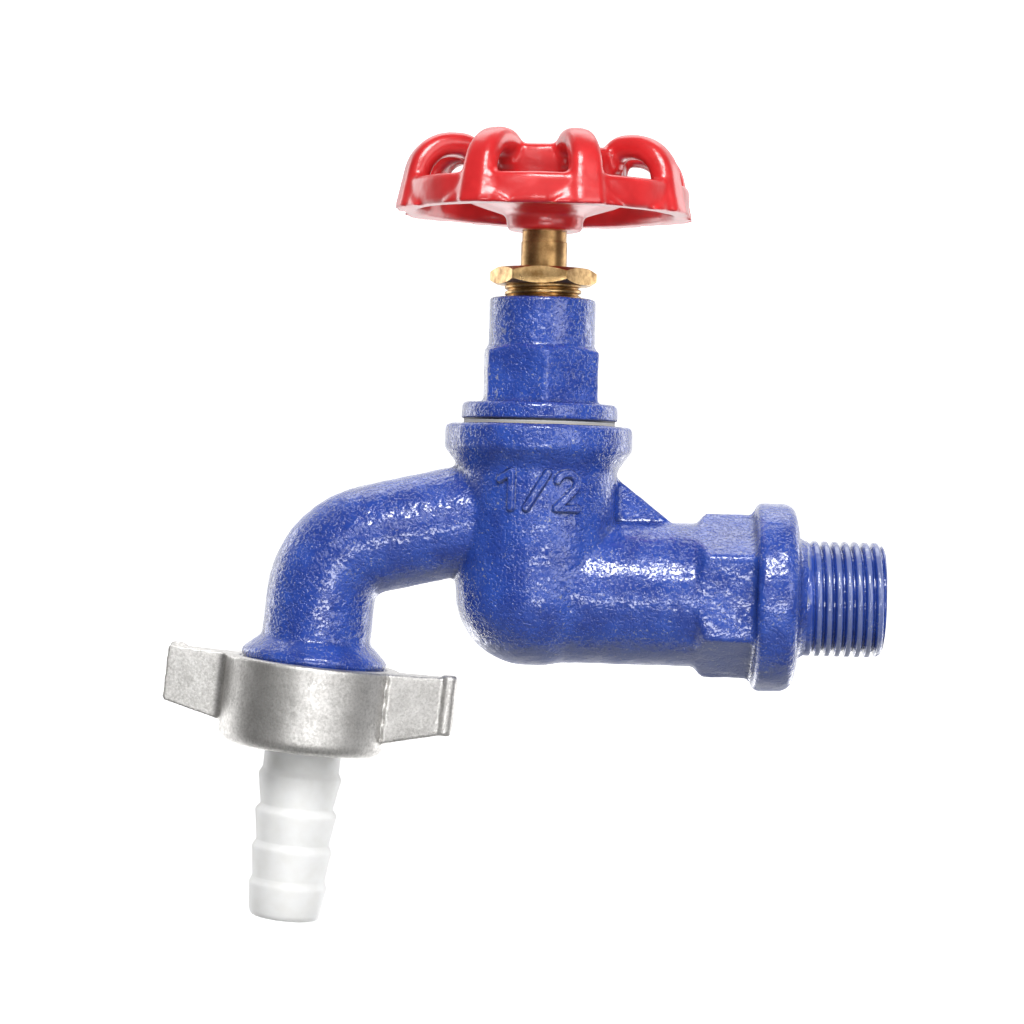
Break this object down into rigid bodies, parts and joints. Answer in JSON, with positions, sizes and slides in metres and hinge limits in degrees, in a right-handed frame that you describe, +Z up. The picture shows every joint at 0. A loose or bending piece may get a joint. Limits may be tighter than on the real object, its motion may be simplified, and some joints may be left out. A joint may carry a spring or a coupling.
{
  "type": "bib tap",
  "caption": "Cast iron bib tap with a lobed handwheel, a threaded inlet, a down-curved spout and a barbed hose tail held by a wing nut.",
  "frame": {"origin": "on the inlet's axis, at the inner end of the inlet thread", "axes": "+X out of the inlet towards the pipe, +Z up along the barrel, spout towards -X"},
  "size_m": [0.1309, 0.0544, 0.1441],
  "materials": {
    "blue_enamel": "glossy enamel on rough cast iron",
    "red_enamel": "glossy enamel",
    "brass": "machined",
    "bright_brass": "machined",
    "aged_brass": "turned, dulled",
    "black_rubber": "matte",
    "grey_fibre": "matte",
    "graphite": "soft",
    "zinc_steel": "zinc plated",
    "clear_nylon": "translucent moulding",
    "die_cast": "as die-cast"
  },
  "bodies": {
    "tap_body": {"body_casting": "blue_enamel", "seat_ring": "brass", "bonnet_gasket": "grey_fibre", "bonnet": "blue_enamel", "packing_washer": "brass", "gland_packing": "graphite", "gland_follower": "brass", "gland_nut": "bright_brass"},
    "valve": {"jumper": "brass", "valve_washer": "black_rubber", "washer_nut": "brass"},
    "wheel": {"spindle": "aged_brass", "handwheel": "red_enamel", "wheel_washer": "zinc_steel", "wheel_spring_washer": "zinc_steel", "wheel_nut": "zinc_steel"},
    "hose_seal": {"hose_washer": "black_rubber"},
    "hose_connector": {"hose_tail": "clear_nylon"},
    "union_nut": {"wing_nut": "die_cast"}
  },
  "joints": [
    {"name": "valve_lift", "type": "slide", "parent": "tap_body", "child": "valve", "axis": [0, 0, 1], "range_m": [0, 0.006]},
    {"name": "wheel_turn", "type": "hinge", "parent": "valve", "child": "wheel", "pos_m": [-0.0495, 0, 0], "axis": [0, 0, 1], "range_deg": [0, 1080]},
    {"name": "union_drop", "type": "slide", "parent": "tap_body", "child": "hose_seal", "axis": [-0.0872, 0, -0.9962], "range_m": [0, 0.00816]},
    {"name": "tail_swivel", "type": "hinge", "parent": "hose_seal", "child": "hose_connector", "pos_m": [-0.08955, 0, -0.01345], "axis": [-0.0872, 0, -0.9962], "continuous": true},
    {"name": "union_turn", "type": "hinge", "parent": "hose_seal", "child": "union_nut", "pos_m": [-0.08955, 0, -0.01345], "axis": [-0.0872, 0, -0.9962], "range_deg": [0, 1620]}
  ],
  "couplings": [
    {"joint": "valve_lift", "follows": "wheel_turn", "m_per_rad": 0.0003183},
    {"joint": "union_drop", "follows": "union_turn", "m_per_rad": 0.0002887}
  ]
}
